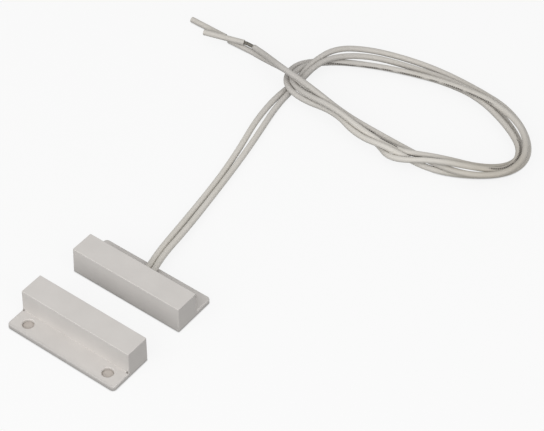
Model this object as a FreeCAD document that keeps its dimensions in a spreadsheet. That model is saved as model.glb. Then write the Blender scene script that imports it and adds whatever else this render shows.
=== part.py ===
import FreeCAD, Part
import math
import os
import Sketcher
from FreeCAD import Placement, Rotation, Vector

# Surface-mount magnetic door contact. Two like mouldings face each other across a gap: one holds a
# glass reed switch with its two leads, the other a bar magnet. Millimetres, +Z up.
# X runs along the mouldings and +Y from the magnet half to the switch half. The origin lies between
# the halves, on the surface that they rest on.

doc = FreeCAD.newDocument("MagneticDoorContact")

# Sizes
SIZES = (
    ("HousingLength", 34.6, "length of each moulding"),
    ("BoxDepth", 7.25, "depth of its box"),
    ("BoxHeight", 8.2, "height of its box"),
    ("FlangeDepth", 5.95, "depth of its screw flange"),
    ("FlangeThickness", 1.55, "thickness of the flange and height of the straight foot of the box"),
    ("WallThickness", 1.1, "side walls of the box"),
    ("RoofThickness", 1.1, "roof of the box"),
    ("DraftAngle", 1.0, "degrees that the box walls lean in above the foot"),
    ("BoxCornerRadius", 0.35, "upright corners of the box"),
    ("RoofEdgeRadius", 0.15, "edges all round the roof"),
    ("FlangeCornerRadius", 1.1, "flange corners seen from above"),
    ("FlangeEdgeRadius", 0.45, "rounding of the upper edge of the flange"),
    ("BottomEdgeRadius", 0.25, "broken edge all round the resting surface"),
    ("ReliefRadius", 0.3, "upright relief groove at the foot of each rear corner of the box"),
    ("ReliefInset", 0.5, "from the end of the moulding to the middle of that groove"),
    ("ReliefHeight", 1.2, "height of that groove, half above the flange and half let into it"),
    ("ScrewSpacing", 25.8, "distance between the two screw holes"),
    ("ScrewFromWall", 2.8, "screw hole centres from the rear wall of the box"),
    ("ScrewHoleDiameter", 3.1, "clearance hole for a screw"),
    ("ScrewSeatDiameter", 3.4, "chamfer round the mouth of the hole"),
    ("ScrewSeatAngle", 90.0, "full angle of that chamfer"),
    ("HalvesGap", 11.6, "free space between the two boxes"),
    ("HalvesShift", 0.5, "how far the switch half stands along X from the magnet half"),
    ("FillRecess", 0.3, "how far the compound stands back from the bottom rim"),
    ("MagnetLength", 25.0, "bar magnet"),
    ("MagnetDepth", 4.4, "bar magnet"),
    ("MagnetHeight", 4.8, "bar magnet"),
    ("MagnetChamfer", 0.3, "broken edges at the ends of the bar"),
    ("GlassLength", 14.0, "reed capsule over its domed ends"),
    ("GlassDiameter", 2.3, "reed capsule"),
    ("GlassWall", 0.35, "reed capsule"),
    ("SealLength", 2.4, "glass melted on to each blade, from the tip of the dome"),
    ("ReedFrontSpace", 0.5, "compound between the capsule and the front wall"),
    ("ReedLeadSpace", 0.6, "compound between the capsule and the leads below it"),
    ("BladeRodDiameter", 0.6, "round end of a reed blade"),
    ("BladeReach", 12.0, "from the middle of the capsule to the end of a blade"),
    ("BladeWidth", 1.1, "flattened part of a blade"),
    ("BladeThickness", 0.25, "flattened part of a blade"),
    ("BladeOverlap", 1.2, "length where the two blades face each other"),
    ("BladeGap", 0.12, "open contact gap between them"),
    ("JointDiameter", 2.0, "bead of solder on each blade end"),
    ("LeadDiameter", 1.7, "lead over its insulation"),
    ("CoreDiameter", 1.1, "stranded core of a lead"),
    ("LeadSpacing", 1.9, "between the axes of the two leads in the wall"),
    ("LeadExitHeight", 2.6, "lead axis above the resting surface at the wall"),
    ("LeadInside", 1.5, "insulation held in the compound, measured from the wall"),
    ("LeadStraight", 2.0, "straight stretch of a lead outside the wall"),
    ("LeadSlack", 0.05, "clearance round the leads in the wall"),
    ("SleeveLength", 12.7, "insulation pulled along each lead end"),
)

sheet = doc.addObject("Spreadsheet::Sheet", "Sizes")
for row, (alias, number, meaning) in enumerate(SIZES, start=1):
    sheet.set("A%d" % row, meaning)
    sheet.set("B%d" % row, str(number))
    sheet.setAlias("B%d" % row, alias)
doc.recompute()


def size(alias):
    """The value of one cell of the sheet, as a number."""
    return float(sheet.get(alias))


def linked(thing, **expressions):
    """Bind properties of an object to expressions on the sheet; a double underscore stands for a dot."""
    for path, expression in expressions.items():
        thing.setExpression(path.replace("__", "."), expression)
    return thing


def add_body(label):
    """An empty body with its own label."""
    body = doc.addObject("PartDesign::Body", label)
    body.Label = label
    return body


def add_sketch(body, name, role, height=None):
    """A sketch on one of the body's own planes, raised by an expression where one is given."""
    sketch = body.newObject("Sketcher::SketchObject", name)
    plane = next(o for o in body.Origin.OriginFeatures if o.Role == role)
    sketch.AttachmentSupport = (plane, [""])
    sketch.MapMode = "FlatFace"
    if height:
        linked(sketch, AttachmentOffset__Base__z=height)
    doc.recompute()
    return sketch


def constrain(sketch, expression, *parts):
    """Add one constraint whose value follows an expression on the sheet."""
    value = float(sketch.evalExpression(expression))
    index = sketch.addConstraint(Sketcher.Constraint(*parts, value))
    sketch.setExpression("Constraints[%d]" % index, expression)


def rectangle(sketch, width, low, high):
    """A rectangle centred on the upright axis; width, low and high are expressions."""
    half = float(sketch.evalExpression(width)) / 2
    bottom = float(sketch.evalExpression(low))
    top = float(sketch.evalExpression(high))
    corners = [Vector(-half, bottom), Vector(half, bottom), Vector(half, top), Vector(-half, top)]
    for start, end in zip(corners, corners[1:] + corners[:1]):
        sketch.addGeometry(Part.LineSegment(start, end), False)
    for line in range(4):
        sketch.addConstraint(Sketcher.Constraint("Coincident", line, 2, (line + 1) % 4, 1))
    for side in (1, 3):
        sketch.addConstraint(Sketcher.Constraint("Vertical", side))
    sketch.addConstraint(Sketcher.Constraint("Horizontal", 2))
    sketch.addConstraint(Sketcher.Constraint("Symmetric", 0, 1, 0, 2, -2))
    constrain(sketch, width, "DistanceX", 0, 1, 0, 2)
    constrain(sketch, low, "DistanceY", -1, 1, 0, 1)
    constrain(sketch, high, "DistanceY", -1, 1, 2, 1)


def rounded_rectangle(sketch, width, low, high, radius):
    """A rectangle centred on the upright axis with round corners; the sizes are expressions."""
    half = float(sketch.evalExpression(width)) / 2
    bottom = float(sketch.evalExpression(low))
    top = float(sketch.evalExpression(high))
    bend = float(sketch.evalExpression(radius))
    centres = [Vector(half - bend, bottom + bend), Vector(half - bend, top - bend),
               Vector(bend - half, top - bend), Vector(bend - half, bottom + bend)]
    outward = [Vector(0, -bend), Vector(bend, 0), Vector(0, bend), Vector(-bend, 0)]
    for n in range(4):
        before, centre = centres[n - 1], centres[n]
        sketch.addGeometry(Part.LineSegment(before + outward[n], centre + outward[n]), False)
        ring = Part.Circle(centre, Vector(0, 0, 1), bend)
        start = math.pi / 2 * (n - 1)
        sketch.addGeometry(Part.ArcOfCircle(ring, start, start + math.pi / 2), False)
    for n in range(4):
        line, arc, following = 2 * n, 2 * n + 1, (2 * n + 2) % 8
        sketch.addConstraint(Sketcher.Constraint("Tangent", line, 2, arc, 1))
        sketch.addConstraint(Sketcher.Constraint("Tangent", arc, 2, following, 1))
        sketch.addConstraint(Sketcher.Constraint(("Horizontal", "Vertical")[n % 2], line))
    for arc in (3, 5, 7):
        sketch.addConstraint(Sketcher.Constraint("Equal", 1, arc))
    constrain(sketch, radius, "Radius", 1)
    constrain(sketch, "%s / 2 - %s" % (width, radius), "DistanceX", -1, 1, 1, 3)
    constrain(sketch, "%s / 2 - %s" % (width, radius), "DistanceX", 5, 3, -1, 1)
    constrain(sketch, low, "DistanceY", -1, 1, 0, 1)
    constrain(sketch, high, "DistanceY", -1, 1, 4, 1)


def circles(sketch, spacing, level, diameter):
    """Two like circles either side of the upright axis; the arguments are expressions."""
    half = float(sketch.evalExpression(spacing)) / 2
    height = float(sketch.evalExpression(level))
    radius = float(sketch.evalExpression(diameter)) / 2
    for x in (-half, half):
        sketch.addGeometry(Part.Circle(Vector(x, height, 0), Vector(0, 0, 1), radius), False)
    sketch.addConstraint(Sketcher.Constraint("Symmetric", 0, 3, 1, 3, -2))
    sketch.addConstraint(Sketcher.Constraint("Equal", 0, 1))
    constrain(sketch, spacing, "DistanceX", 0, 3, 1, 3)
    constrain(sketch, level, "DistanceY", -1, 1, 0, 3)
    constrain(sketch, diameter, "Diameter", 0)


def pad(body, name, sketch, length, **more):
    """A pad of a sketch, with its length and any further properties as expressions."""
    feature = body.newObject("PartDesign::Pad", name)
    feature.Profile = sketch
    linked(feature, Length=length, **more)
    doc.recompute()
    return feature


def pocket(body, name, sketch, length, reverse):
    """A pocket of a sketch, checked to have removed material."""
    before = body.Tip.Shape.Volume
    feature = body.newObject("PartDesign::Pocket", name)
    feature.Profile = sketch
    feature.Reversed = reverse
    linked(feature, Length=length)
    doc.recompute()
    if feature.Shape.Volume >= before:
        raise RuntimeError(name + " cut nothing")
    return feature


def fillet(body, name, radius, wanted):
    """Round each edge of the body for which wanted(edge) holds."""
    base = body.Tip
    names = ["Edge%d" % n for n, edge in enumerate(base.Shape.Edges, start=1) if wanted(edge)]
    feature = body.newObject("PartDesign::Fillet", name)
    feature.Base = (base, names)
    linked(feature, Radius=radius)
    doc.recompute()
    return feature


def place(thing, x="0", y="0", z="0"):
    """Bind the place of a finished piece to expressions on the sheet."""
    linked(thing, Placement__Base__x=x, Placement__Base__y=y, Placement__Base__z=z)
    return thing


# Places that several pieces share, as expressions on the sheet
REAR_PLANE = "(Sizes.HalvesGap / 2 + Sizes.BoxDepth)"
FRONT_PLANE = "(Sizes.HalvesGap / 2)"
SWITCH_X = "(Sizes.HalvesShift / 2)"
MAGNET_X = "(-Sizes.HalvesShift / 2)"
CAVITY_LENGTH = "(Sizes.HousingLength - 2 * Sizes.WallThickness)"
CAVITY_DEPTH = "(Sizes.BoxDepth - 2 * Sizes.WallThickness)"
CAVITY_HEIGHT = "(Sizes.BoxHeight - Sizes.RoofThickness)"
REED_Y = "(%s + Sizes.WallThickness + Sizes.ReedFrontSpace + Sizes.GlassDiameter / 2)" % FRONT_PLANE
REED_Z = "(Sizes.LeadExitHeight + Sizes.LeadDiameter / 2 + Sizes.ReedLeadSpace + Sizes.GlassDiameter / 2)"


def along(edge, axis):
    """True for a straight edge that runs nearly parallel to an axis."""
    if edge.Curve.TypeId != "Part::GeomLine":
        return False
    direction = edge.Vertexes[-1].Point - edge.Vertexes[0].Point
    return abs(direction.normalize().dot(axis)) > 0.99


# Housing
# Injection-moulded white plastic: a box open below, on a foot that runs out into a screw flange.
# Its own frame has the flange towards -Y and the rear wall of the box on y = 0.
def housing(label):
    """One moulding: rounded flange, straight foot, drafted box, cavity, relief grooves and holes."""
    body = add_body(label)
    foot_top = size("FlangeThickness")
    depth = size("BoxDepth")

    flange = add_sketch(body, label + "_flange_outline", "XY_Plane")
    rectangle(flange, "Sizes.HousingLength", "-Sizes.FlangeDepth", "Sizes.WallThickness / 2")
    pad(body, label + "_flange", flange, "Sizes.FlangeThickness")
    fillet(body, label + "_flange_corners", "Sizes.FlangeCornerRadius",
           lambda edge: along(edge, Vector(0, 0, 1)) and edge.CenterOfMass.y < 0)
    fillet(body, label + "_flange_edge", "Sizes.FlangeEdgeRadius",
           lambda edge: min(v.Z for v in edge.Vertexes) > foot_top - 0.01 and edge.CenterOfMass.y < 0)

    foot = add_sketch(body, label + "_foot_outline", "XY_Plane")
    rectangle(foot, "Sizes.HousingLength", "0", "Sizes.BoxDepth")
    pad(body, label + "_foot", foot, "Sizes.FlangeThickness")
    fillet(body, label + "_foot_corners", "Sizes.BoxCornerRadius",
           lambda edge: along(edge, Vector(0, 0, 1)) and edge.CenterOfMass.y > depth / 2)
    fillet(body, label + "_bottom_edge", "Sizes.BottomEdgeRadius",
           lambda edge: max(v.Z for v in edge.Vertexes) < 0.01)
    outline = add_sketch(body, label + "_box_outline", "XY_Plane", "Sizes.FlangeThickness")
    rounded_rectangle(outline, "Sizes.HousingLength", "0", "Sizes.BoxDepth", "Sizes.BoxCornerRadius")
    pad(body, label + "_box", outline, "Sizes.BoxHeight - Sizes.FlangeThickness",
        TaperAngle="-Sizes.DraftAngle")
    fillet(body, label + "_roof_edge", "Sizes.RoofEdgeRadius",
           lambda edge: min(v.Z for v in edge.Vertexes) > size("BoxHeight") - 0.01)

    cavity = add_sketch(body, label + "_cavity_outline", "XY_Plane")
    rectangle(cavity, CAVITY_LENGTH, "Sizes.WallThickness", "Sizes.BoxDepth - Sizes.WallThickness")
    pocket(body, label + "_cavity", cavity, CAVITY_HEIGHT, True)
    reliefs = add_sketch(body, label + "_relief_outline", "XY_Plane",
                         "Sizes.FlangeThickness - Sizes.ReliefHeight / 2")
    circles(reliefs, "Sizes.HousingLength - 2 * Sizes.ReliefInset", "0", "2 * Sizes.ReliefRadius")
    pocket(body, label + "_reliefs", reliefs, "Sizes.ReliefHeight", True)

    centres = add_sketch(body, label + "_screw_centres", "XY_Plane", "Sizes.FlangeThickness")
    circles(centres, "Sizes.ScrewSpacing", "-Sizes.ScrewFromWall", "Sizes.ScrewHoleDiameter")
    solid = body.Tip.Shape.Volume
    holes = body.newObject("PartDesign::Hole", label + "_screw_holes")
    holes.Profile = centres
    doc.recompute()
    holes.DepthType = "ThroughAll"
    holes.HoleCutType = "Countersink"
    linked(holes, Diameter="Sizes.ScrewHoleDiameter", HoleCutDiameter="Sizes.ScrewSeatDiameter",
           HoleCutCountersinkAngle="Sizes.ScrewSeatAngle")
    doc.recompute()
    if holes.Shape.Volume >= solid:
        raise RuntimeError(label + " has no screw holes")
    return body


magnet_housing = place(housing("magnet_housing"), x=MAGNET_X, y="-" + REAR_PLANE)

# The switch half is the same moulding turned round, with a slot in its rear wall for the two leads
switch_housing = housing("switch_housing")
slot = add_sketch(switch_housing, "lead_slot_outline", "XZ_Plane")
slot_reach = size("LeadSpacing") / 2
slot_radius = size("LeadDiameter") / 2 + size("LeadSlack")
slot_level = size("LeadExitHeight")
right_centre = Vector(slot_reach, slot_level, 0)
left_centre = Vector(-slot_reach, slot_level, 0)
rise = Vector(0, slot_radius, 0)
upright = Vector(0, 0, 1)
quarter = math.pi / 2
slot.addGeometry(Part.ArcOfCircle(Part.Circle(right_centre, upright, slot_radius), -quarter, quarter), False)
slot.addGeometry(Part.LineSegment(right_centre + rise, left_centre + rise), False)
slot.addGeometry(Part.ArcOfCircle(Part.Circle(left_centre, upright, slot_radius), quarter, 3 * quarter), False)
slot.addGeometry(Part.LineSegment(left_centre - rise, right_centre - rise), False)
for first, first_end, second, second_end in ((0, 2, 1, 1), (1, 2, 2, 1), (2, 2, 3, 1), (3, 2, 0, 1)):
    slot.addConstraint(Sketcher.Constraint("Tangent", first, first_end, second, second_end))
slot.addConstraint(Sketcher.Constraint("Symmetric", 0, 3, 2, 3, -2))
slot.addConstraint(Sketcher.Constraint("Equal", 0, 2))
constrain(slot, "Sizes.LeadSpacing", "DistanceX", 2, 3, 0, 3)
constrain(slot, "Sizes.LeadExitHeight", "DistanceY", -1, 1, 0, 3)
constrain(slot, "Sizes.LeadDiameter / 2 + Sizes.LeadSlack", "Radius", 0)
doc.recompute()
pocket(switch_housing, "lead_slot", slot, "Sizes.WallThickness", False)
switch_housing.Placement.Rotation = Rotation(Vector(0, 0, 1), 180)
place(switch_housing, x=SWITCH_X, y=REAR_PLANE)


# Reed capsule
# A glass tube melted shut on the round ends of two blades, hollow between the seals.
reed_glass = add_body("reed_glass")
profile = add_sketch(reed_glass, "capsule_section", "XZ_Plane")
dome = size("GlassDiameter") / 2
bore = size("BladeRodDiameter") / 2
inner = dome - size("GlassWall")
dome_x = size("GlassLength") / 2 - dome
tip_x = dome_x + math.sqrt(dome ** 2 - bore ** 2)
seal_x = size("GlassLength") / 2 - size("SealLength")
bend = inner - bore
flat_x = seal_x - bend
tip_angle = math.asin(bore / dome)


def section_arc(centre_x, centre_z, radius, start, end):
    """One arc of the capsule section, counter-clockwise between two angles."""
    circle = Part.Circle(Vector(centre_x, centre_z, 0), upright, radius)
    profile.addGeometry(Part.ArcOfCircle(circle, start, end), False)


def section_line(x1, z1, x2, z2):
    """One straight of the capsule section."""
    profile.addGeometry(Part.LineSegment(Vector(x1, z1, 0), Vector(x2, z2, 0)), False)


section_line(seal_x, bore, tip_x, bore)
section_arc(dome_x, 0, dome, tip_angle, quarter)
section_line(dome_x, dome, -dome_x, dome)
section_arc(-dome_x, 0, dome, quarter, math.pi - tip_angle)
section_line(-tip_x, bore, -seal_x, bore)
section_arc(-flat_x, bore, bend, quarter, math.pi)
section_line(-flat_x, inner, flat_x, inner)
section_arc(flat_x, bore, bend, 0, quarter)
for first, first_end, second, second_end in ((1, 2, 2, 1), (2, 2, 3, 1), (5, 1, 6, 1), (6, 2, 7, 2)):
    profile.addConstraint(Sketcher.Constraint("Tangent", first, first_end, second, second_end))
for first, first_end, second, second_end in ((0, 2, 1, 1), (3, 2, 4, 1), (4, 2, 5, 2), (7, 1, 0, 1)):
    profile.addConstraint(Sketcher.Constraint("Coincident", first, first_end, second, second_end))
for line in (0, 2, 4, 6):
    profile.addConstraint(Sketcher.Constraint("Horizontal", line))
for centre, other, end in ((5, 4, 2), (7, 0, 1)):
    profile.addConstraint(Sketcher.Constraint("Horizontal", centre, 3, other, end))
profile.addConstraint(Sketcher.Constraint("PointOnObject", 1, 3, -1))
profile.addConstraint(Sketcher.Constraint("Symmetric", 1, 3, 3, 3, -2))
profile.addConstraint(Sketcher.Constraint("Symmetric", 0, 1, 4, 2, -2))
constrain(profile, "Sizes.GlassLength - Sizes.GlassDiameter", "DistanceX", 3, 3, 1, 3)
constrain(profile, "Sizes.GlassDiameter / 2", "DistanceY", -1, 1, 2, 1)
constrain(profile, "Sizes.BladeRodDiameter / 2", "DistanceY", -1, 1, 0, 1)
constrain(profile, "Sizes.GlassLength - 2 * Sizes.SealLength", "DistanceX", 4, 2, 0, 1)
constrain(profile, "Sizes.GlassDiameter / 2 - Sizes.GlassWall", "DistanceY", -1, 1, 6, 1)
capsule = reed_glass.newObject("PartDesign::Revolution", "capsule")
capsule.Profile = profile
capsule.ReferenceAxis = (profile, ["H_Axis"])
capsule.Angle = 360
doc.recompute()
place(reed_glass, x=SWITCH_X, y=REED_Y, z=REED_Z)


# Reed blades
# Drawn nickel-iron wire, round where the glass holds it and pressed flat where the two overlap.
# Its own frame has the outer end of the blade on x = 0 and the overlap towards +X.
FLAT_START = ("(Sizes.BladeReach - Sizes.GlassLength / 2 + Sizes.SealLength"
              " + Sizes.GlassDiameter / 2 - Sizes.GlassWall - Sizes.BladeRodDiameter / 2)")


def reed_blade(label):
    """One blade: a round rod and the flat that carries the contact, below the axis of the capsule."""
    body = add_body(label)
    rod = add_sketch(body, label + "_rod_section", "YZ_Plane")
    rod.addGeometry(Part.Circle(Vector(0, 0, 0), upright, bore), False)
    rod.addConstraint(Sketcher.Constraint("Coincident", 0, 3, -1, 1))
    constrain(rod, "Sizes.BladeRodDiameter", "Diameter", 0)
    pad(body, label + "_rod", rod, FLAT_START)
    flat = add_sketch(body, label + "_flat_section", "YZ_Plane", FLAT_START)
    rectangle(flat, "Sizes.BladeWidth", "-(Sizes.BladeGap / 2 + Sizes.BladeThickness)", "-Sizes.BladeGap / 2")
    pad(body, label + "_flat", flat, "Sizes.BladeReach + Sizes.BladeOverlap / 2 - %s" % FLAT_START)
    return body


reed_blade_left = reed_blade("reed_blade_left")
place(reed_blade_left, x="%s - Sizes.BladeReach" % SWITCH_X, y=REED_Y, z=REED_Z)
reed_blade_right = reed_blade("reed_blade_right")
reed_blade_right.Placement.Rotation = Rotation(Vector(0, 1, 0), 180)
place(reed_blade_right, x="%s + Sizes.BladeReach" % SWITCH_X, y=REED_Y, z=REED_Z)


# Bar magnet
# A pressed bar with broken edges, held against the roof of its cavity.
bar_magnet = add_body("bar_magnet")
bar = add_sketch(bar_magnet, "bar_section", "XY_Plane")
rectangle(bar, "Sizes.MagnetLength", "-Sizes.MagnetDepth / 2", "Sizes.MagnetDepth / 2")
block = pad(bar_magnet, "bar_block", bar, "Sizes.MagnetHeight")
ends = [n for n, face in enumerate(block.Shape.Faces, start=1)
        if abs(face.CenterOfMass.x) > size("MagnetLength") / 2 - 0.01]
broken = bar_magnet.newObject("PartDesign::Chamfer", "broken_edges")
broken.Base = (block, ["Face%d" % n for n in ends])
linked(broken, Size="Sizes.MagnetChamfer")
doc.recompute()
place(bar_magnet, x=MAGNET_X, y="-(%s + Sizes.BoxDepth / 2)" % FRONT_PLANE,
      z="%s - Sizes.MagnetHeight" % CAVITY_HEIGHT)


# Leads
# Two plain single-core leads leave the switch half side by side, run out together, and lie in a
# double loop. Each route is a chain of points that the lead is bent along, in millimetres; the two
# points at the wall follow from the sheet.
LEFT_ROUTE = (
    (-2.85, 23.5, 2.2), (-4.5, 34, 1.6), (-6.3, 45.5, 1.1), (-8.25, 57, 0.85), (-10.8, 68.5, 0.9),
    (-13.9, 80, 1.1), (-15.45, 91, 1), (-15, 100.5, 0.85), (-14.5, 108, 3.5), (-12.2, 116.25, 4.6),
    (-5.2, 123.4, 3), (5, 128.5, 1.4), (16, 130.6, 0.9), (28, 130.3, 0.85), (39.5, 128, 1.2),
    (49.2, 122.2, 0.9), (54.8, 114, 0.85), (53.45, 105.1, 0.9), (44.9, 97.65, 0.85),
    (34.5, 93.2, 0.85), (24.05, 90.85, 4.2), (12.95, 90.5, 3), (3, 94.5, 3.5), (-8.45, 92.95, 3.25),
    (-16.6, 96.55, 2.9), (-19.7, 106.4, 1.2), (-14, 113.5, 0.85), (-3, 119.5, 1), (8.5, 124, 0.85),
    (19.5, 126.5, 1.1), (31, 126, 1.8), (43.5, 121, 2.1), (52.5, 113.5, 2.7), (53.5, 104.3, 2.7),
    (47.5, 98.4, 4.8), (36.35, 93.25, 5.4), (25.5, 88.45, 2.6), (17.9, 93.65, 0.85),
    (7.05, 96.15, 1.2), (-4.7, 95.95, 4.1), (-16.2, 98.6, 5.6), (-26.9, 102.05, 1.9),
    (-34.75, 103.55, 0.85), (-41.3, 103.55, 0.85),
)
RIGHT_ROUTE = (
    (-0.9, 22.5, 2.5), (-2.3, 33.5, 1.9), (-4.3, 45.5, 1.5), (-6.25, 56.5, 1.2), (-8.25, 67.5, 1.1),
    (-10.65, 78, 0.9), (-13.1, 88.5, 0.85), (-13.5, 98.5, 1.5), (-12.6, 108, 3.8),
    (-9.55, 115.35, 3.75), (-2.6, 122.65, 2.1), (8.2, 126.7, 1.1), (19.5, 128.5, 1),
    (32, 127.8, 1.4), (43.5, 124, 1.5), (51.5, 116.5, 0.85), (52.5, 108.5, 1), (47.1, 100.85, 2.9),
    (36.6, 95.85, 4.6), (25.1, 92.65, 2.5), (14, 92.5, 3.7), (3, 93.5, 6), (-8.5, 94.5, 4.35),
    (-16.4, 99.05, 2.85), (-16.85, 107.55, 1.85), (-9.5, 114.55, 1.95), (1.5, 120, 2.2),
    (13, 123.5, 2.3), (24.5, 125.3, 3), (36, 124, 3.8), (48, 119.5, 3.9), (55, 111.5, 4),
    (54.5, 102, 4), (46.5, 95.5, 3.6), (36, 94.8, 2.4), (26, 96.2, 1.2), (16.5, 95.8, 2.1),
    (5.6, 95.05, 3.8), (-7.65, 96.15, 6.6), (-17.85, 97.6, 6.7), (-24.6, 100.65, 4.8),
    (-28.8, 102.55, 3.5), (-32.2, 103.65, 2.8),
)
# Bare core from the end of the insulation to where it enters the sleeve that was pulled along it
LEFT_GAP = ((-41.9, 103.55, 0.85), (-42.65, 104.15, 0.85))
RIGHT_GAP = ((-32.88, 103.87, 2.66), (-34.9, 103.85, 2.75))
# Where each of those sleeves points
LEFT_SLEEVE_RUN = (-12.5, 0.3, 0)
RIGHT_SLEEVE_RUN = (-12.2, -3.3, -0.15)

ARC_SHARE = 0.45


def bent_wire(points, name):
    """Straight runs joined by tangent arcs, each as large as 0.45 of its shorter run allows."""
    edges = []
    tightest = None
    start = points[0]
    for before, corner, after in zip(points, points[1:], points[2:]):
        arriving = (corner - before).normalize()
        leaving = (after - corner).normalize()
        turn = arriving.getAngle(leaving)
        cut = ARC_SHARE * min((corner - before).Length, (after - corner).Length)
        radius = cut / math.tan(turn / 2)
        tightest = radius if tightest is None else min(radius, tightest)
        arc_start = corner - arriving * cut
        arc_end = corner + leaving * cut
        inward = (leaving - arriving).normalize()
        middle = corner + inward * (radius / math.cos(turn / 2) - radius)
        edges.append(Part.LineSegment(start, arc_start).toShape())
        edges.append(Part.Arc(arc_start, middle, arc_end).toShape())
        start = arc_end
    edges.append(Part.LineSegment(start, points[-1]).toShape())
    wire = Part.Wire(edges)
    print("%s: %.1f mm long, tightest radius %.2f mm" % (name, wire.Length, tightest))
    return wire


def round_section(label, points, diameter):
    """A round wire bent along a chain of points, with its volume compared with section times length."""
    path = bent_wire(points, label)
    ring = Part.Circle(points[0], points[1] - points[0], diameter / 2).toShape()
    tube = path.makePipe(Part.Face(Part.Wire(ring)))
    expected = math.pi * diameter ** 2 / 4 * path.Length
    if abs(tube.Volume / expected - 1) > 0.01:
        raise RuntimeError("%s has %.3f of its volume" % (label, tube.Volume / expected))
    feature = doc.addObject("Part::Feature", label)
    feature.Label = label
    feature.Shape = tube
    feature.Placement = Placement()
    return feature


def place_of(expression):
    """The value of one of the shared places."""
    return float(sheet.evalExpression(expression))


wall_y = place_of(REAR_PLANE)
reed_y = place_of(REED_Y)
reed_z = place_of(REED_Z)
exit_z = size("LeadExitHeight")
held_y = wall_y - size("WallThickness") - size("LeadInside")
straight_y = wall_y + size("LeadStraight")


def lead_points(side, route):
    """The route of one lead from its end in the compound; side is -1 or 1 along X."""
    exit_x = place_of(SWITCH_X) + side * size("LeadSpacing") / 2
    return [Vector(exit_x, held_y, exit_z), Vector(exit_x, straight_y, exit_z)] + [Vector(*p) for p in route]


left_points = lead_points(-1, LEFT_ROUTE)
right_points = lead_points(1, RIGHT_ROUTE)
lead_left = round_section("lead_left", left_points, size("LeadDiameter"))
lead_right = round_section("lead_right", right_points, size("LeadDiameter"))


# Pulled sleeves and bare cores
# The insulation is cut round and slid along, so that it still covers the end of the core. The
# sleeve stands out past the core by the width of the gap that it left.
def lead_end(label_core, label_sleeve, lead, gap, run):
    """The bare core from the lead's end into its sleeve, and the hollow sleeve round it."""
    direction = Vector(*run).normalize()
    mouth = Vector(*gap[-1]) + direction * (ARC_SHARE * (Vector(*gap[-1]) - Vector(*gap[-2])).Length)
    opened = (mouth - lead[-1]).Length
    core_end = mouth + direction * (size("SleeveLength") - opened)
    core = round_section(label_core, [lead[-1]] + [Vector(*p) for p in gap] + [core_end],
                         size("CoreDiameter"))
    outside = linked(doc.addObject("Part::Cylinder", label_sleeve + "_outside"),
                     Radius="Sizes.LeadDiameter / 2", Height="Sizes.SleeveLength")
    bore_tool = linked(doc.addObject("Part::Cylinder", label_sleeve + "_bore"),
                       Radius="Sizes.CoreDiameter / 2", Height="Sizes.SleeveLength")
    sleeve = doc.addObject("Part::Cut", label_sleeve)
    sleeve.Label = label_sleeve
    sleeve.Base = outside
    sleeve.Tool = bore_tool
    sleeve.Placement = Placement(mouth, Rotation(upright, direction))
    return core, sleeve


end_core_left, pulled_sleeve_left = lead_end(
    "end_core_left", "pulled_sleeve_left", left_points, LEFT_GAP, LEFT_SLEEVE_RUN)
end_core_right, pulled_sleeve_right = lead_end(
    "end_core_right", "pulled_sleeve_right", right_points, RIGHT_GAP, RIGHT_SLEEVE_RUN)


# Inner cores and solder joints
# Inside the compound the bare core turns along the box and rises to the end of its blade, where a
# bead of solder holds both.
def inner_core(label, side):
    """The core from the held end of the insulation to the underside of the blade's round end."""
    joint_x = place_of(SWITCH_X) + side * size("BladeReach")
    exit_x = place_of(SWITCH_X) + side * size("LeadSpacing") / 2
    top_z = reed_z - size("BladeRodDiameter") / 2
    chain = [Vector(exit_x, held_y, exit_z), Vector(exit_x, reed_y, exit_z),
             Vector(joint_x, reed_y, exit_z), Vector(joint_x, reed_y, top_z)]
    return round_section(label, chain, size("CoreDiameter"))


def solder_joint(label, blade, core, x):
    """A bead of solder with the blade and the core let into it."""
    bead = linked(doc.addObject("Part::Sphere", label + "_bead"), Radius="Sizes.JointDiameter / 2")
    place(bead, x=x, y=REED_Y, z=REED_Z)
    bladed = doc.addObject("Part::Cut", label + "_round_blade")
    bladed.Base = bead
    bladed.Tool = blade
    joint = doc.addObject("Part::Cut", label)
    joint.Label = label
    joint.Base = bladed
    joint.Tool = core
    return joint


inner_core_left = inner_core("inner_core_left", -1)
inner_core_right = inner_core("inner_core_right", 1)
solder_joint_left = solder_joint("solder_joint_left", reed_blade_left, inner_core_left,
                                 "%s - Sizes.BladeReach" % SWITCH_X)
solder_joint_right = solder_joint("solder_joint_right", reed_blade_right, inner_core_right,
                                  "%s + Sizes.BladeReach" % SWITCH_X)
doc.recompute()


# Compound
# Cast into each cavity round what it holds, a little short of the bottom rim.
def compound(label, x, y, held):
    """The filled cavity less the pieces that are cast into it."""
    fill = linked(doc.addObject("Part::Box", label + "_fill"), Length=CAVITY_LENGTH, Width=CAVITY_DEPTH,
                  Height="%s - Sizes.FillRecess" % CAVITY_HEIGHT)
    place(fill, x="%s - %s / 2" % (x, CAVITY_LENGTH), y=y, z="Sizes.FillRecess")
    for piece in held:
        cut = doc.addObject("Part::Cut", "%s_round_%s" % (label, piece.Name))
        cut.Base = fill
        cut.Tool = piece
        fill = cut
    fill.Label = label
    doc.recompute()
    return fill


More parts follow.
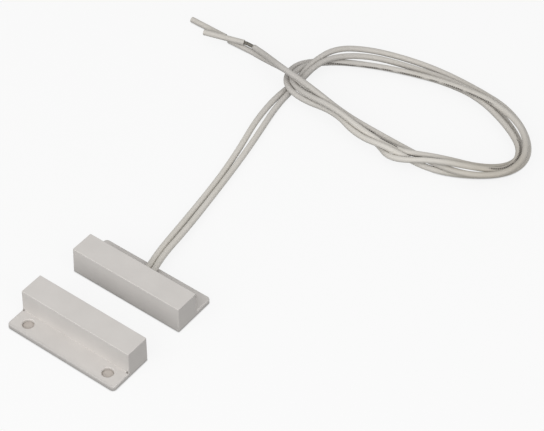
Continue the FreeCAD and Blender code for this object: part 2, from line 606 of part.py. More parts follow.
# The outside of the capsule, so that no compound is left in its hollow
tube = linked(doc.addObject("Part::Cylinder", "capsule_tube"), Radius="Sizes.GlassDiameter / 2",
              Height="Sizes.GlassLength - Sizes.GlassDiameter")
tube.Placement.Rotation = Rotation(Vector(0, 1, 0), 90)
place(tube, x="%s - (Sizes.GlassLength - Sizes.GlassDiameter) / 2" % SWITCH_X, y=REED_Y, z=REED_Z)
domes = []
for name, sign in (("capsule_left_dome", "-"), ("capsule_right_dome", "+")):
    ball = linked(doc.addObject("Part::Sphere", name), Radius="Sizes.GlassDiameter / 2")
    domes.append(place(ball, x="%s %s (Sizes.GlassLength - Sizes.GlassDiameter) / 2" % (SWITCH_X, sign),
                       y=REED_Y, z=REED_Z))
envelope = doc.addObject("Part::MultiFuse", "capsule_outside")
envelope.Shapes = [tube] + domes

switch_potting = compound(
    "switch_potting", SWITCH_X, "%s + Sizes.WallThickness" % FRONT_PLANE,
    (envelope, reed_blade_left, reed_blade_right, solder_joint_left, solder_joint_right,
     inner_core_left, inner_core_right, lead_left, lead_right))
magnet_potting = compound(
    "magnet_potting", MAGNET_X, "-(%s + Sizes.BoxDepth - Sizes.WallThickness)" % FRONT_PLANE,
    (bar_magnet,))

PIECES = (
    switch_housing, switch_potting, reed_glass, reed_blade_left, reed_blade_right,
    solder_joint_left, solder_joint_right, inner_core_left, inner_core_right,
    lead_left, lead_right, end_core_left, end_core_right, pulled_sleeve_left, pulled_sleeve_right,
    magnet_housing, bar_magnet, magnet_potting,
)

doc.recompute()
for thing in doc.Objects:
    if "Invalid" in thing.State or "Error" in thing.State:
        raise RuntimeError("%s failed: %s" % (thing.Label, thing.State))
for piece in PIECES:
    shape = piece.Shape
    if shape.isNull() or not shape.isValid() or len(shape.Solids) != 1:
        raise RuntimeError("%s is not one valid solid" % piece.Label)

os.makedirs("parts", exist_ok=True)
for piece in PIECES:
    piece.Shape.exportStep("parts/%s.step" % piece.Label)
    print("%-20s %9.2f mm3" % (piece.Label, piece.Shape.Volume))
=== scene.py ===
import math

import bpy
import numpy as np
from mathutils import Matrix, Vector


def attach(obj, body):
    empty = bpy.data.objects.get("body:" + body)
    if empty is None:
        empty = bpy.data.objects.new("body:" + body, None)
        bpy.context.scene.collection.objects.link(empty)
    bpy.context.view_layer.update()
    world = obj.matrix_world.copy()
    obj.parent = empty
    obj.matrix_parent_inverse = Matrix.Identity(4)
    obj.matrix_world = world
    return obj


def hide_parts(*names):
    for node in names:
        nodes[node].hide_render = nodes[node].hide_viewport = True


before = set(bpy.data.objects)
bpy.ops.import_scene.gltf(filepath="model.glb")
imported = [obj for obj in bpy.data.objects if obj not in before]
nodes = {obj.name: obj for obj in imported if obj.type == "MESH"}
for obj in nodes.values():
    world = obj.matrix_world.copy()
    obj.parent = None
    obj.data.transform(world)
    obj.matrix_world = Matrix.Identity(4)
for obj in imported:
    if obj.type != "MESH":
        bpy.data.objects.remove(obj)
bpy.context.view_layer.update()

scene = bpy.context.scene


# Housings
# Two like mouldings in white ABS, each a box with a screw flange along one side. The tool was
# lightly spark-finished, so the faces are satin with a very fine grain and a slightly uneven sheen.
def shader(name):
    """A new node material, with its tree of nodes and its Principled shader."""
    material = bpy.data.materials.new(name)
    material.use_nodes = True
    return material, material.node_tree, material.node_tree.nodes["Principled BSDF"]


def add(tree, kind, **settings):
    """A new node in the tree, with its properties set."""
    node = tree.nodes.new(kind)
    for key, value in settings.items():
        setattr(node, key, value)
    return node


def feed(value, node, socket):
    """Gives a node's socket the output of another node, or a plain number or colour."""
    if isinstance(value, bpy.types.NodeSocket):
        node.id_data.links.new(value, node.inputs[socket])
    else:
        node.inputs[socket].default_value = value


def linear(red, green, blue):
    """A colour given as display values from 0 to 255, turned to linear light."""
    display = np.array([red, green, blue]) / 255
    light = np.where(display <= 0.04045, display / 12.92, ((display + 0.055) / 1.055) ** 2.4)
    return (*light.tolist(), 1.0)


def object_place(tree):
    """Where each point lies in the object's own coordinates."""
    return add(tree, "ShaderNodeTexCoord").outputs["Object"]


def split(tree, vector):
    """The x, y and z of a vector, named X, Y and Z."""
    parts = add(tree, "ShaderNodeSeparateXYZ")
    feed(vector, parts, "Vector")
    return parts.outputs


def noise(tree, place, scale, detail, roughness=0.5):
    """A cloudy pattern from 0 to 1 whose clouds are about 1 / scale metres across."""
    clouds = add(tree, "ShaderNodeTexNoise")
    feed(place, clouds, "Vector")
    feed(scale, clouds, "Scale")
    feed(detail, clouds, "Detail")
    feed(roughness, clouds, "Roughness")
    return clouds.outputs["Fac"]


def two_tone(tree, pattern, dark, light, low=0.0, high=1.0):
    """A colour that goes from dark to light as the pattern goes from low to high."""
    tone = add(tree, "ShaderNodeValToRGB")
    for element, position, colour in zip(tone.color_ramp.elements, (low, high), (dark, light)):
        element.position = position
        element.color = colour
    feed(pattern, tone, "Fac")
    return tone.outputs["Color"]


def ranged(tree, value, low, high, at_low, at_high, easing="LINEAR"):
    """A value that goes from at_low to at_high as the given one goes from low to high."""
    limits = add(tree, "ShaderNodeMapRange", interpolation_type=easing)
    feed(value, limits, "Value")
    feed(low, limits, "From Min")
    feed(high, limits, "From Max")
    feed(at_low, limits, "To Min")
    feed(at_high, limits, "To Max")
    return limits.outputs["Result"]


def reckoned(tree, operation, *terms):
    """The outcome of one sum on numbers or on outputs of other nodes."""
    node = add(tree, "ShaderNodeMath", operation=operation)
    for place, term in enumerate(terms):
        feed(term, node, place)
    return node.outputs["Value"]


def fine_relief(tree, surface, pattern, strength, distance):
    """Shades the surface as if it rose by the distance in metres where the pattern is full."""
    bump = add(tree, "ShaderNodeBump")
    feed(pattern, bump, "Height")
    feed(strength, bump, "Strength")
    feed(distance, bump, "Distance")
    feed(bump.outputs["Normal"], surface, "Normal")


# Painted shade: a darker band just above the base, and along the magnet half's front rim
FOOT_LOW, FOOT_HIGH, FOOT_PAINTED_SHADE = 0.0001, 0.0009, 0.7
RIM_FRONT, RIM_BACK, RIM_PAINTED_SHADE = -0.01905, -0.0182, 0.78


def moulded_white():
    """Satin white plastic: two close whites in soft clouds, a fine grain, a slightly uneven sheen.

    Painted shade darkens it low down, where it rests, and on the magnet half's front rim.
    """
    material, tree, surface = shader("moulded_white")
    place = object_place(tree)
    clouds = noise(tree, place, 140.0, 3.0)
    tone = two_tone(tree, clouds, linear(204, 200, 196), linear(209, 205, 201), 0.3, 0.7)
    parts = split(tree, place)
    # Painted shade, low down and on the front rim of the magnet half
    foot = ranged(tree, parts["Z"], FOOT_LOW, FOOT_HIGH, FOOT_PAINTED_SHADE, 1.0, "SMOOTHSTEP")
    rim = ranged(tree, parts["Y"], RIM_FRONT, RIM_BACK, RIM_PAINTED_SHADE, 1.0, "SMOOTHSTEP")
    shaded = add(tree, "ShaderNodeVectorMath", operation="SCALE")
    feed(tone, shaded, 0)
    feed(reckoned(tree, "MULTIPLY", foot, rim), shaded, "Scale")
    feed(shaded.outputs["Vector"], surface, "Base Color")
    feed(ranged(tree, clouds, 0.0, 1.0, 0.42, 0.54), surface, "Roughness")
    feed(0.35, surface, "Specular IOR Level")
    fine_relief(tree, surface, noise(tree, place, 3200.0, 2.0, 0.6), 0.18, 0.00003)
    return material


def dress(names, material):
    """Puts the material on the solids of these nodes."""
    for name in names:
        nodes[name].data.materials.clear()
        nodes[name].data.materials.append(material)


dress(("switch_housing", "magnet_housing"), moulded_white())


# Webs in the screw holes
# Each hole is closed halfway down by a thin web of the same white plastic, which the screw pushes
# out. It is moulded with the housing, thinner all round its rim so that it breaks there.
def mesh_object(name, points, faces, uv=None):
    """A mesh object at the origin; uv has one pair for each corner of each face."""
    mesh = bpy.data.meshes.new(name)
    mesh.from_pydata(points.tolist(), [], faces)
    if uv is not None:
        mesh.uv_layers.new(name="UVMap").data.foreach_set("uv", np.asarray(uv, float).ravel())
    mesh.shade_smooth()
    made = bpy.data.objects.new(name, mesh)
    scene.collection.objects.link(made)
    return made


def turned(name, profile, centre, sides):
    """A closed solid of revolution about an upright axis through centre.

    profile is a row of (distance from the axis, height), from the axis round to the axis again. Its
    point at distance d and height h, turned by angle a, is the centre plus (d cosine a, d sine a, h).
    """
    profile = np.array(profile)
    angle = np.arange(sides) / sides * 2 * math.pi
    distance, height = profile[1:-1, :1], profile[1:-1, 1:]
    rings = np.stack([distance * np.cos(angle), distance * np.sin(angle),
                      np.broadcast_to(height, (len(height), sides))], -1)
    poles = np.array([(0, 0, profile[0, 1]), (0, 0, profile[-1, 1])])
    points = np.vstack([rings.reshape(-1, 3), poles]) + np.array(centre)
    ring, corner = np.meshgrid(np.arange(len(rings) - 1), np.arange(sides), indexing="ij")
    following = (corner + 1) % sides
    walls = np.stack([ring * sides + corner, (ring + 1) * sides + corner, (ring + 1) * sides + following,
                      ring * sides + following], -1).reshape(-1, 4)
    first, second = corner[0], following[0]
    last = (len(rings) - 1) * sides
    top = np.stack([np.full(sides, len(points) - 2), first, second], -1)
    bottom = np.stack([np.full(sides, len(points) - 1), last + second, last + first], -1)
    return mesh_object(name, points, walls.tolist() + top.tolist() + bottom.tolist())


def web_plastic_painted_shade():
    """Housing plastic with the same satin face, darker and warmer as painted shade of the hole."""
    material, tree, surface = shader("web_plastic_painted_shade")
    clouds = noise(tree, object_place(tree), 500.0, 2.0)
    feed(two_tone(tree, clouds, linear(188, 181, 174), linear(196, 188, 181)), surface, "Base Color")
    feed(0.55, surface, "Roughness")
    feed(0.3, surface, "Specular IOR Level")
    return material


SCREW_SPACING = 0.0258
HOLE_ROW = 0.01585
HALF_SHIFT = 0.00025
HOLE_RADIUS = 0.00155
WEB_TOP = 0.0009
WEB_THICKNESS = 0.0003
BREAK_DEPTH = 0.00012
WEB_SIDES = 48
# Shares of the hole's radius, with the depth below the web's top
web_outline = ((0, 0), (0.5, 0), (0.84, 0), (0.88, 0.3 * BREAK_DEPTH), (0.93, BREAK_DEPTH),
               (1, BREAK_DEPTH), (1, WEB_THICKNESS), (0, WEB_THICKNESS))
web_profile = [(share * HOLE_RADIUS, WEB_TOP - depth) for share, depth in web_outline]
# The webs' darker, warmer tone is painted shade of the hole
shaded_web_plastic = web_plastic_painted_shade()
for half, facing in (("magnet", -1), ("switch", 1)):
    for side, hand in (("left", -1), ("right", 1)):
        centre = (facing * HALF_SHIFT + hand * SCREW_SPACING / 2, facing * HOLE_ROW, 0)
        web = turned("%s_web_%s" % (half, side), web_profile, centre, WEB_SIDES)
        web.data.materials.append(shaded_web_plastic)
        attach(web, "root")


# Casting compound
# Two-part resin poured into each box from below, a little short of the rim. It is glossy, off-white
# and slightly cloudy, with small pits where bubbles broke.
PIT_REACH = 0.22


def cast_resin():
    """Glossy cloudy resin with scattered shallow pits."""
    material, tree, surface = shader("cast_resin")
    place = object_place(tree)
    clouds = noise(tree, place, 260.0, 4.0)
    feed(two_tone(tree, clouds, linear(206, 201, 188), linear(224, 221, 210)), surface, "Base Color")
    feed(0.28, surface, "Roughness")
    bubbles = add(tree, "ShaderNodeTexVoronoi")
    feed(place, bubbles, "Vector")
    feed(520.0, bubbles, "Scale")
    pits = ranged(tree, bubbles.outputs["Distance"], 0.0, PIT_REACH, 0.0, 1.0)
    fine_relief(tree, surface, pits, 0.35, 0.0001)
    return material


dress(("switch_potting", "magnet_potting"), cast_resin())


# Bar magnet
# A pressed and sintered ferrite bar: dark grey, matt and a little speckled. It is pushed into the
# box of the magnet half before the compound is poured.
def sintered_ferrite():
    """Dark matt ceramic with fine speckle and a grainy surface."""
    material, tree, surface = shader("sintered_ferrite")
    speckle = noise(tree, object_place(tree), 2400.0, 5.0)
    feed(two_tone(tree, speckle, linear(44, 44, 47), linear(70, 70, 73)), surface, "Base Color")
    feed(0.72, surface, "Roughness")
    fine_relief(tree, surface, speckle, 0.4, 0.00004)
    return material


dress(("bar_magnet",), sintered_ferrite())


# Reed capsule
# A short tube of clear glass with a faint green tint. Both ends are melted shut on the blades, which
# leaves the glass slightly wavy.
def tinted_glass():
    """Clear glass, faintly green, with soft waves."""
    material, tree, surface = shader("tinted_glass")
    feed(linear(214, 236, 220), surface, "Base Color")
    feed(0.03, surface, "Roughness")
    feed(1.5, surface, "IOR")
    feed(1.0, surface, "Transmission Weight")
    fine_relief(tree, surface, noise(tree, object_place(tree), 300.0, 1.0), 0.1, 0.00005)
    return material


dress(("reed_glass",), tinted_glass())


# Reed blades, solder and inner cores
# The blades are drawn nickel-iron wire with fine lengthwise marks, pressed flat inside the glass. A
# bright bead of solder on each outer end holds the tinned core of a lead.
ROUGHNESS_SWING = 0.08


def bare_metal(name, dark, light, roughness, stretch=(1, 1, 1)):
    """Bare metal with fine marks; stretch scales the pattern along each axis."""
    material, tree, surface = shader(name)
    feed(1.0, surface, "Metallic")
    scaled = add(tree, "ShaderNodeMapping")
    feed(object_place(tree), scaled, "Vector")
    feed(stretch, scaled, "Scale")
    marks = noise(tree, scaled.outputs["Vector"], 1800.0, 4.0)
    feed(two_tone(tree, marks, dark, light), surface, "Base Color")
    sheen = ranged(tree, marks, 0.0, 1.0, roughness - ROUGHNESS_SWING, roughness + ROUGHNESS_SWING)
    feed(sheen, surface, "Roughness")
    fine_relief(tree, surface, marks, 0.2, 0.00002)
    return material


dress(("reed_blade_left", "reed_blade_right"),
      bare_metal("drawn_nickel_iron", linear(158, 155, 148), linear(196, 193, 186), 0.3, (0.1, 1, 1)))
dress(("solder_joint_left", "solder_joint_right"),
      bare_metal("solder", linear(176, 176, 178), linear(208, 208, 210), 0.25))
core_metal = bare_metal("tinned_strand", linear(86, 83, 77), linear(126, 122, 115), 0.55)
dress(("inner_core_left", "inner_core_right"), core_metal)


# Leads
# Two hook-up leads in soft off-white vinyl insulation, about 0.47 and 0.45 m long. They leave the
# rear wall of the switch half side by side and lie on the table in a loose double loop.
LEFT_ROUTE = (
    (-0.0007, 0.01045, 0.0026), (-0.0007, 0.01505, 0.0026), (-0.00285, 0.0235, 0.0022),
    (-0.0045, 0.034, 0.0016), (-0.0063, 0.0455, 0.0011), (-0.00825, 0.057, 0.00085),
    (-0.0108, 0.0685, 0.0009), (-0.0139, 0.08, 0.0011), (-0.01545, 0.091, 0.001),
    (-0.015, 0.1005, 0.00085), (-0.01465, 0.10806, 0.0035), (-0.0122, 0.11625, 0.0046),
    (-0.0052, 0.1234, 0.003), (0.0051, 0.12835, 0.0014), (0.01619, 0.1303, 0.0009),
    (0.02823, 0.12993, 0.00085), (0.0395, 0.128, 0.0012), (0.0492, 0.1222, 0.0009),
    (0.0548, 0.114, 0.00085), (0.05345, 0.1051, 0.0009), (0.0449, 0.09765, 0.00085),
    (0.0345, 0.0932, 0.00085), (0.02405, 0.09085, 0.0042), (0.01295, 0.0905, 0.003),
    (0.003, 0.0945, 0.0035), (-0.00845, 0.09295, 0.00325), (-0.0166, 0.09655, 0.0029),
    (-0.0197, 0.1064, 0.0012), (-0.014, 0.1135, 0.00085), (-0.003, 0.1195, 0.001),
    (0.00846, 0.12405, 0.00095), (0.01943, 0.1266, 0.00115), (0.03092, 0.12597, 0.002),
    (0.04388, 0.1199, 0.0028), (0.05255, 0.1134, 0.0028), (0.0535, 0.1043, 0.0027),
    (0.0475, 0.0984, 0.0048), (0.03635, 0.09325, 0.0054), (0.0255, 0.08845, 0.0026),
    (0.0179, 0.09365, 0.00085), (0.00705, 0.09615, 0.0012), (-0.0047, 0.09595, 0.0041),
    (-0.0162, 0.0986, 0.0056), (-0.0269, 0.10205, 0.0019), (-0.03483, 0.10366, 0.00085),
    (-0.0413, 0.10355, 0.00085),
)
RIGHT_ROUTE = (
    (0.0012, 0.01045, 0.0026), (0.0012, 0.01505, 0.0026), (-0.0009, 0.0225, 0.0025),
    (-0.0023, 0.0335, 0.0019), (-0.0043, 0.0455, 0.0015), (-0.00625, 0.0565, 0.0012),
    (-0.00825, 0.0675, 0.0011), (-0.01065, 0.078, 0.0009), (-0.0131, 0.0885, 0.00085),
    (-0.0135, 0.0985, 0.0015), (-0.01302, 0.10834, 0.0038), (-0.00955, 0.11535, 0.00375),
    (-0.00252, 0.12254, 0.0021), (0.00835, 0.12649, 0.00095), (0.01952, 0.12848, 0.00095),
    (0.032, 0.12758, 0.0014), (0.04311, 0.12304, 0.0009), (0.0515, 0.1165, 0.00085),
    (0.0525, 0.1085, 0.001), (0.0471, 0.10085, 0.0029), (0.0366, 0.09585, 0.0046),
    (0.0251, 0.09265, 0.0025), (0.014, 0.0925, 0.0037), (0.003, 0.0935, 0.006),
    (-0.00837, 0.09431, 0.00455), (-0.01633, 0.09876, 0.00297), (-0.01685, 0.10755, 0.00185),
    (-0.0095, 0.11455, 0.00195), (0.0015, 0.12, 0.0022), (0.01288, 0.12367, 0.00235),
    (0.02456, 0.12515, 0.00332), (0.03584, 0.12519, 0.004), (0.0482, 0.12109, 0.004),
    (0.05511, 0.11158, 0.004), (0.0545, 0.102, 0.004), (0.0465, 0.0955, 0.0036),
    (0.036, 0.0948, 0.0024), (0.026, 0.0962, 0.0012), (0.0165, 0.0958, 0.0021),
    (0.0056, 0.09505, 0.0038), (-0.00765, 0.09615, 0.0066), (-0.01785, 0.0976, 0.0067),
    (-0.0246, 0.10065, 0.0048), (-0.0288, 0.10255, 0.0035), (-0.0322, 0.10365, 0.0028),
)
LEAD_RADIUS = 0.00085
LEAD_STEPS = 12
LEAD_SIDES = 24


def laid_line(route, steps):
    """Points of a smooth quadratic NURBS line that has the route's points as its control points."""
    curve = bpy.data.curves.new("lay", "CURVE")
    curve.dimensions = "3D"
    curve.resolution_u = steps
    spline = curve.splines.new("NURBS")
    spline.points.add(len(route) - 1)
    spline.points.foreach_set("co", np.hstack([np.array(route), np.ones((len(route), 1))]).ravel())
    spline.order_u = 3
    spline.use_endpoint_u = True
    holder = bpy.data.objects.new("lay", curve)
    mesh = bpy.data.meshes.new_from_object(holder)
    line = np.zeros(len(mesh.vertices) * 3)
    mesh.vertices.foreach_get("co", line)
    bpy.data.objects.remove(holder)
    bpy.data.curves.remove(curve)
    bpy.data.meshes.remove(mesh)
    return line.reshape(-1, 3)


def swept(name, line, radius, sides):
    """A round skin along a line, closed at both ends.

    Each ring lies square to the line. Its point at angle a is the line's point plus radius times
    (cosine a towards the side, sine a upwards). radius is one number, or one for each ring and
    side. The UV map holds millimetres along the line and the share of a turn round it.
    """
    count = len(line)
    ahead = np.gradient(line, axis=0)
    ahead /= np.linalg.norm(ahead, axis=1)[:, None]
    side = np.cross(ahead, (0, 0, 1))
    side /= np.linalg.norm(side, axis=1)[:, None]
    up = np.cross(side, ahead)
    angle = np.arange(sides) / sides * 2 * math.pi
    reach = np.broadcast_to(radius, (count, sides))[:, :, None]
    rings = line[:, None] + reach * (np.cos(angle)[None, :, None] * side[:, None]
                                     + np.sin(angle)[None, :, None] * up[:, None])
    points = np.vstack([rings.reshape(-1, 3), line[:1], line[-1:]])
    ring, corner = np.meshgrid(np.arange(count - 1), np.arange(sides), indexing="ij")
    start = ring * sides
    following = (corner + 1) % sides
    walls = np.stack([start + corner, start + sides + corner, start + sides + following,
                      start + following], -1).reshape(-1, 4)
    first, second = corner[0], following[0]
    last = (count - 1) * sides
    near = np.stack([np.full(sides, count * sides), first, second], -1)
    far = np.stack([np.full(sides, count * sides + 1), last + second, last + first], -1)
    travel = np.r_[0, np.cumsum(np.linalg.norm(np.diff(line, axis=0), axis=1))] * 1000
    along, beyond = travel[ring], travel[ring + 1]
    turn, next_turn = corner / sides, (corner + 1) / sides
    corners = [along, turn, beyond, turn, beyond, next_turn, along, next_turn]
    wall_uv = np.stack(corners, -1).reshape(-1, 2)
    near_uv = np.tile([[travel[0], 0.5]], (3 * sides, 1))
    far_uv = np.tile([[travel[-1], 0.5]], (3 * sides, 1))
    faces = walls.tolist() + near.tolist() + far.tolist()
    return mesh_object(name, points, faces, np.vstack([wall_uv, near_uv, far_uv]))


# Places of the two colours and of the outcome on a colour Mix node
UNDER, OVER, OUTCOME = 6, 7, 2


def blended(tree, way, colour, amount, second):
    """The colour with a second one blended into it, in full where the amount is 1."""
    blend = add(tree, "ShaderNodeMix", data_type="RGBA", blend_type=way)
    feed(amount, blend, "Factor")
    feed(colour, blend, UNDER)
    feed(second, blend, OVER)
    return blend.outputs[OUTCOME]


def close_to(tree, place, centre, inner, outer, most):
    """An amount that is most up to inner metres from a centre and fades to nothing at outer."""
    reach = add(tree, "ShaderNodeVectorMath", operation="DISTANCE")
    feed(place, reach, 0)
    feed(centre, reach, 1)
    return ranged(tree, reach.outputs["Value"], inner, outer, most, 0.0, "SMOOTHSTEP")


COIL_FRONT, COIL_FULL = 0.088, 0.099
CROSSING = (-0.014, 0.102, 0.003)
RIGHT_BEND = (0.051, 0.102, 0.002)
# Tints of painted shade for the crossing, the coil and the right bend
CROSSING_PAINTED_SHADE = (0.76, 0.77, 0.81, 1)
COIL_PAINTED_SHADE = (0.79, 0.78, 0.785, 1)
BEND_WARM_PAINTED_SHADE = (0.76, 0.73, 0.67, 1)
INK_HALF_WIDTH = 0.048
DASHES_PER_MM = 1.55
DASH_SHARE = 0.72


def dashes(tree):
    """How much ink there is, from 0 to 1.

    The ink lies where the share of a turn is within INK_HALF_WIDTH of a half, and the millimetres
    along times DASHES_PER_MM have a remainder under DASH_SHARE, times the attribute "inked".
    """
    skin = split(tree, add(tree, "ShaderNodeUVMap").outputs["UV"])
    off_line = reckoned(tree, "SUBTRACT", reckoned(tree, "FRACT", skin["Y"]), 0.5)
    band = reckoned(tree, "LESS_THAN", reckoned(tree, "ABSOLUTE", off_line), INK_HALF_WIDTH)
    beat = reckoned(tree, "FRACT", reckoned(tree, "MULTIPLY", skin["X"], DASHES_PER_MM))
    dash = reckoned(tree, "LESS_THAN", beat, DASH_SHARE)
    inked = add(tree, "ShaderNodeAttribute", attribute_name="inked").outputs["Fac"]
    return reckoned(tree, "MULTIPLY", reckoned(tree, "MULTIPLY", band, dash), inked)


def soft_insulation():
    """Off-white vinyl: a slightly uneven colour, a soft sheen and plain dashes of ink.

    Painted shade makes it greyer round the crossing at the left of the coil, duller in the coil than
    in the run that leads to it, and darker and warmer in the right bend.
    """
    material, tree, surface = shader("soft_insulation")
    place = object_place(tree)
    clouds = noise(tree, place, 150.0, 1.0)
    tone = two_tone(tree, clouds, linear(208, 204, 196), linear(212, 208, 201), 0.3, 0.7)
    crossing_shade = close_to(tree, place, CROSSING, 0.008, 0.034, 0.4)
    coil_shade = ranged(tree, split(tree, place)["Y"], COIL_FRONT, COIL_FULL, 0.0, 0.45, "SMOOTHSTEP")
    bend_shade = close_to(tree, place, RIGHT_BEND, 0.005, 0.019, 0.6)
    # Painted shade, multiplied into the vinyl's colour
    for amount, shade_tint in ((crossing_shade, CROSSING_PAINTED_SHADE), (coil_shade, COIL_PAINTED_SHADE), (bend_shade, BEND_WARM_PAINTED_SHADE)):
        tone = blended(tree, "MULTIPLY", tone, amount, shade_tint)
    feed(blended(tree, "MIX", tone, dashes(tree), linear(92, 87, 82)), surface, "Base Color")
    feed(0.45, surface, "Roughness")
    feed(0.25, surface, "Specular IOR Level")
    return material


INK_FADE = 0.9


def put_print(lead, twist, stretches):
    """Turns a lead's UV map so that its printed line lies at half a turn, and says where ink is.

    twist pairs millimetres along the lead with the share of a turn at which the line lies there,
    and it goes evenly from one to the next. stretches are the inked lengths in millimetres, and
    past their ends the ink fades out over INK_FADE.
    """
    places = lead.data.uv_layers.active.uv
    found = np.zeros(len(places) * 2)
    places.foreach_get("vector", found)
    along = found[0::2].copy()
    found[1::2] += 0.5 - np.interp(along, *np.array(twist).T)
    places.foreach_set("vector", found)
    ink = np.zeros(len(along))
    for start, end in stretches:
        ink = np.maximum(ink, np.clip(np.minimum(along - start, end - along) / INK_FADE + 1, 0, 1))
    lead.data.attributes.new("inked", "FLOAT", "CORNER").data.foreach_set("value", ink)


# Where the printed line lies round each lead, in millimetres along it and shares of a turn, and the
# stretches that show ink. Elsewhere the line is kept underneath.
LEFT_TWIST = ((0, -0.25), (190, -0.25), (205, 0.22), (216, 0.17), (230, -0.25), (340, -0.25),
              (356, 0.34), (366, 0.28), (372, 0.32), (386, 0.18), (397, 0.17), (410, -0.25),
              (480, -0.25))
LEFT_INK = ((205.5, 210.5), (212, 216), (355, 363), (364.5, 372), (386, 389), (391, 396))
RIGHT_TWIST = ((0, -0.25), (195, -0.25), (206, 0.53), (213, 0.53), (216, 0.22), (223, 0.17),
               (235, -0.25), (255, -0.25), (272, 0.08), (279, -0.02), (286, 0.0), (297, 0.02),
               (308, 0.04), (313, 0.02), (316, 0.01), (319, -0.01), (324, 0.05), (331, 0.07),
               (342, 0.05), (360, -0.25), (380, -0.25), (396, 0.46), (399, 0.465), (412, 0.75),
               (460, 0.75))
RIGHT_INK = ((208, 212.5), (215.8, 221), (272, 280), (282.5, 287), (288.5, 291), (294, 300),
             (303, 305), (307.5, 313), (315, 323), (397.1, 398.7))
left_line = laid_line(LEFT_ROUTE, LEAD_STEPS)
right_line = laid_line(RIGHT_ROUTE, LEAD_STEPS)
lead_left = swept("lead_left_skin", left_line, LEAD_RADIUS, LEAD_SIDES)
lead_right = swept("lead_right_skin", right_line, LEAD_RADIUS, LEAD_SIDES)
put_print(lead_left, LEFT_TWIST, LEFT_INK)
put_print(lead_right, RIGHT_TWIST, RIGHT_INK)
vinyl = soft_insulation()
for lead, node in ((lead_left, "lead_left"), (lead_right, "lead_right")):
    lead.data.materials.append(vinyl)
    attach(lead, "root")
    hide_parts(node)


# Bare cores
# Fine tinned strands twisted together. They are bare for 2 to 4 mm, where the insulation was cut
# round and pulled along.
LEFT_CORE = (
    (-0.0413, 0.10355, 0.00085), (-0.0419, 0.10355, 0.00085), (-0.04265, 0.10415, 0.00085),
    (-0.04308, 0.10416, 0.00085), (-0.0539, 0.10442, 0.00085),
)
RIGHT_CORE = (
    (-0.0322, 0.10365, 0.0028), (-0.03288, 0.10387, 0.00266), (-0.0349, 0.10385, 0.00275),
    (-0.03578, 0.10361, 0.00274), (-0.04458, 0.10123, 0.00263),
)
CORE_RADIUS = 0.00055
CORE_STEPS = 40
CORE_SIDES = 48
STRANDS = 6
STRAND_LAY = 0.006
STRAND_VALLEY = 0.86
STRAND_RISE = 0.13


def stranded(name, route):
    """A twisted core whose strands go once round it in STRAND_LAY metres.

    At angle a, with the strands turned by t, its radius is CORE_RADIUS times the sum of
    STRAND_VALLEY and STRAND_RISE times the size of cosine (STRANDS / 2 times (a less t)).
    """
    line = laid_line(route, CORE_STEPS)
    travel = np.r_[0, np.cumsum(np.linalg.norm(np.diff(line, axis=0), axis=1))]
    angle = np.arange(CORE_SIDES) / CORE_SIDES * 2 * math.pi
    phase = STRANDS / 2 * (angle[None, :] - travel[:, None] * 2 * math.pi / STRAND_LAY)
    radius = CORE_RADIUS * (STRAND_VALLEY + STRAND_RISE * np.abs(np.cos(phase)))
    return swept(name, line, radius, CORE_SIDES)


for name, route, node in (("core_left_strands", LEFT_CORE, "end_core_left"),
                          ("core_right_strands", RIGHT_CORE, "end_core_right")):
    core = stranded(name, route)
    core.data.materials.append(core_metal)
    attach(core, "root")
    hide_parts(node)


# Pulled sleeves
# The cut lengths of the same insulation, slid along so that they still cover the ends of the cores.
dress(("pulled_sleeve_left", "pulled_sleeve_right"), vinyl)


# Table
# A plain white sheet. Its own colour is what the camera sees as the background, it still takes the
# soft shadow of what lies on it, and it is clear from below.
TABLE_HALF = 4.0
TABLE_GLOW = 0.862
SHADOW_REACH = 0.0003
SHADOW_START = 0.5
SHADOW_SHADE = 0.72


def looked_at(tree):
    """1 for what the camera sees, also mirrored or through glass, and 0 for the light it sheds."""
    rays = add(tree, "ShaderNodeLightPath").outputs
    mirrored = reckoned(tree, "MAXIMUM", rays["Is Glossy Ray"], rays["Is Transmission Ray"])
    return reckoned(tree, "MAXIMUM", rays["Is Camera Ray"], mirrored)


def table_white():
    """Matt white that glows evenly when looked at, with a narrow soft shadow where things rest.

    Its shadow comes from how open to the sky each point is within SHADOW_REACH metres.
    """
    material, tree, surface = shader("table_white")
    feed((0.1, 0.1, 0.1, 1), surface, "Base Color")
    feed(0.9, surface, "Roughness")
    feed(0.0, surface, "Specular IOR Level")
    open_sky = add(tree, "ShaderNodeAmbientOcclusion", samples=16)
    feed(SHADOW_REACH, open_sky, "Distance")
    shadow = ranged(tree, open_sky.outputs["AO"], SHADOW_START, 1.0, SHADOW_SHADE, 1.0)
    lit = reckoned(tree, "MULTIPLY", looked_at(tree), shadow)
    feed((1, 1, 1, 1), surface, "Emission Color")
    feed(reckoned(tree, "MULTIPLY", lit, TABLE_GLOW), surface, "Emission Strength")
    one_way = add(tree, "ShaderNodeMixShader")
    feed(add(tree, "ShaderNodeNewGeometry").outputs["Backfacing"], one_way, 0)
    feed(surface.outputs["BSDF"], one_way, 1)
    feed(add(tree, "ShaderNodeBsdfTransparent").outputs["BSDF"], one_way, 2)
    feed(one_way.outputs["Shader"], tree.get_output_node("ALL"), "Surface")
    return material


table_corners = np.array([(-1, -1, 0), (1, -1, 0), (1, 1, 0), (-1, 1, 0)]) * TABLE_HALF
table = mesh_object("table", table_corners, [[0, 1, 2, 3]])
table.data.materials.append(table_white())


# Light
# Even studio light: a pale surround, a large soft lamp low in front of the halves, and a weaker one
# to their right.
SURROUND_LIGHT = 0.53
SURROUND_SEEN = 0.93
LAMP_SIZE = 0.9
LAMP_DISTANCE = 0.8
LAMP_AIM = np.array((0.01, 0.055, 0.0))

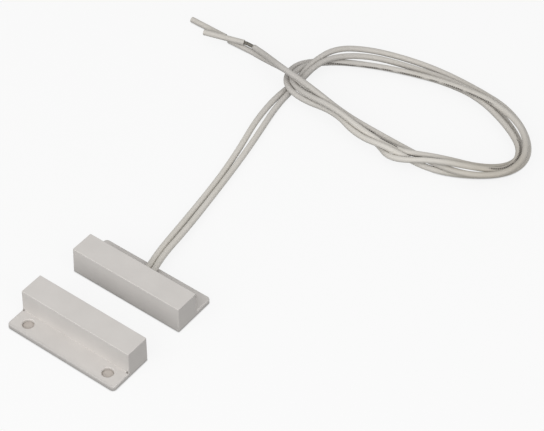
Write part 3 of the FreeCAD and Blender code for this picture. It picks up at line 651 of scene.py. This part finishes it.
world = bpy.data.worlds.new("surround")
scene.world = world
world.use_nodes = True
backdrop = world.node_tree.nodes["Background"]
surround = ranged(world.node_tree, looked_at(world.node_tree), 0.0, 1.0, SURROUND_LIGHT, SURROUND_SEEN)
feed((1, 1, 1, 1), backdrop, "Color")
feed(surround, backdrop, "Strength")
for name, towards, watts in (("front_lamp", (-0.1, -0.8, 0.55), 3.5),
                             ("right_lamp", (0.75, -0.35, 0.55), 2.2)):
    lamp_data = bpy.data.lights.new(name, "AREA")
    lamp_data.shape = "DISK"
    lamp_data.size = LAMP_SIZE
    lamp_data.energy = watts
    lamp = bpy.data.objects.new(name, lamp_data)
    scene.collection.objects.link(lamp)
    towards = np.array(towards) / np.linalg.norm(towards)
    lamp.location = Vector(LAMP_AIM + towards * LAMP_DISTANCE)
    lamp.rotation_mode = "QUATERNION"
    lamp.rotation_quaternion = Vector(-towards).to_track_quat("-Z", "Y")


# Camera
# It stands where the photograph was taken from, high in front and to the right, a little tilted. The
# lens and the place were fitted to the two halves and the leads.
CAMERA_STAND = np.array((0.212518, -0.233624, 0.350075))
CAMERA_AIM = np.array((0.011313, 0.053525, 0.0))
CAMERA_ROLL = math.radians(-1.988)

camera_data = bpy.data.cameras.new("camera")
camera_data.sensor_width = 36.0
camera_data.lens = 123.08
camera_data.clip_start = 0.01
camera_data.clip_end = 20.0
camera = bpy.data.objects.new("camera", camera_data)
scene.collection.objects.link(camera)
scene.camera = camera
sight = CAMERA_AIM - CAMERA_STAND
sight /= np.linalg.norm(sight)
level = np.cross(sight, (0, 0, 1))
level /= np.linalg.norm(level)
upward = np.cross(level, sight)
right = math.cos(CAMERA_ROLL) * level - math.sin(CAMERA_ROLL) * upward
above = math.sin(CAMERA_ROLL) * level + math.cos(CAMERA_ROLL) * upward
camera.matrix_world = Matrix((
    (right[0], above[0], -sight[0], CAMERA_STAND[0]),
    (right[1], above[1], -sight[1], CAMERA_STAND[1]),
    (right[2], above[2], -sight[2], CAMERA_STAND[2]),
    (0, 0, 0, 1),
))

scene.view_settings.view_transform = "Standard"
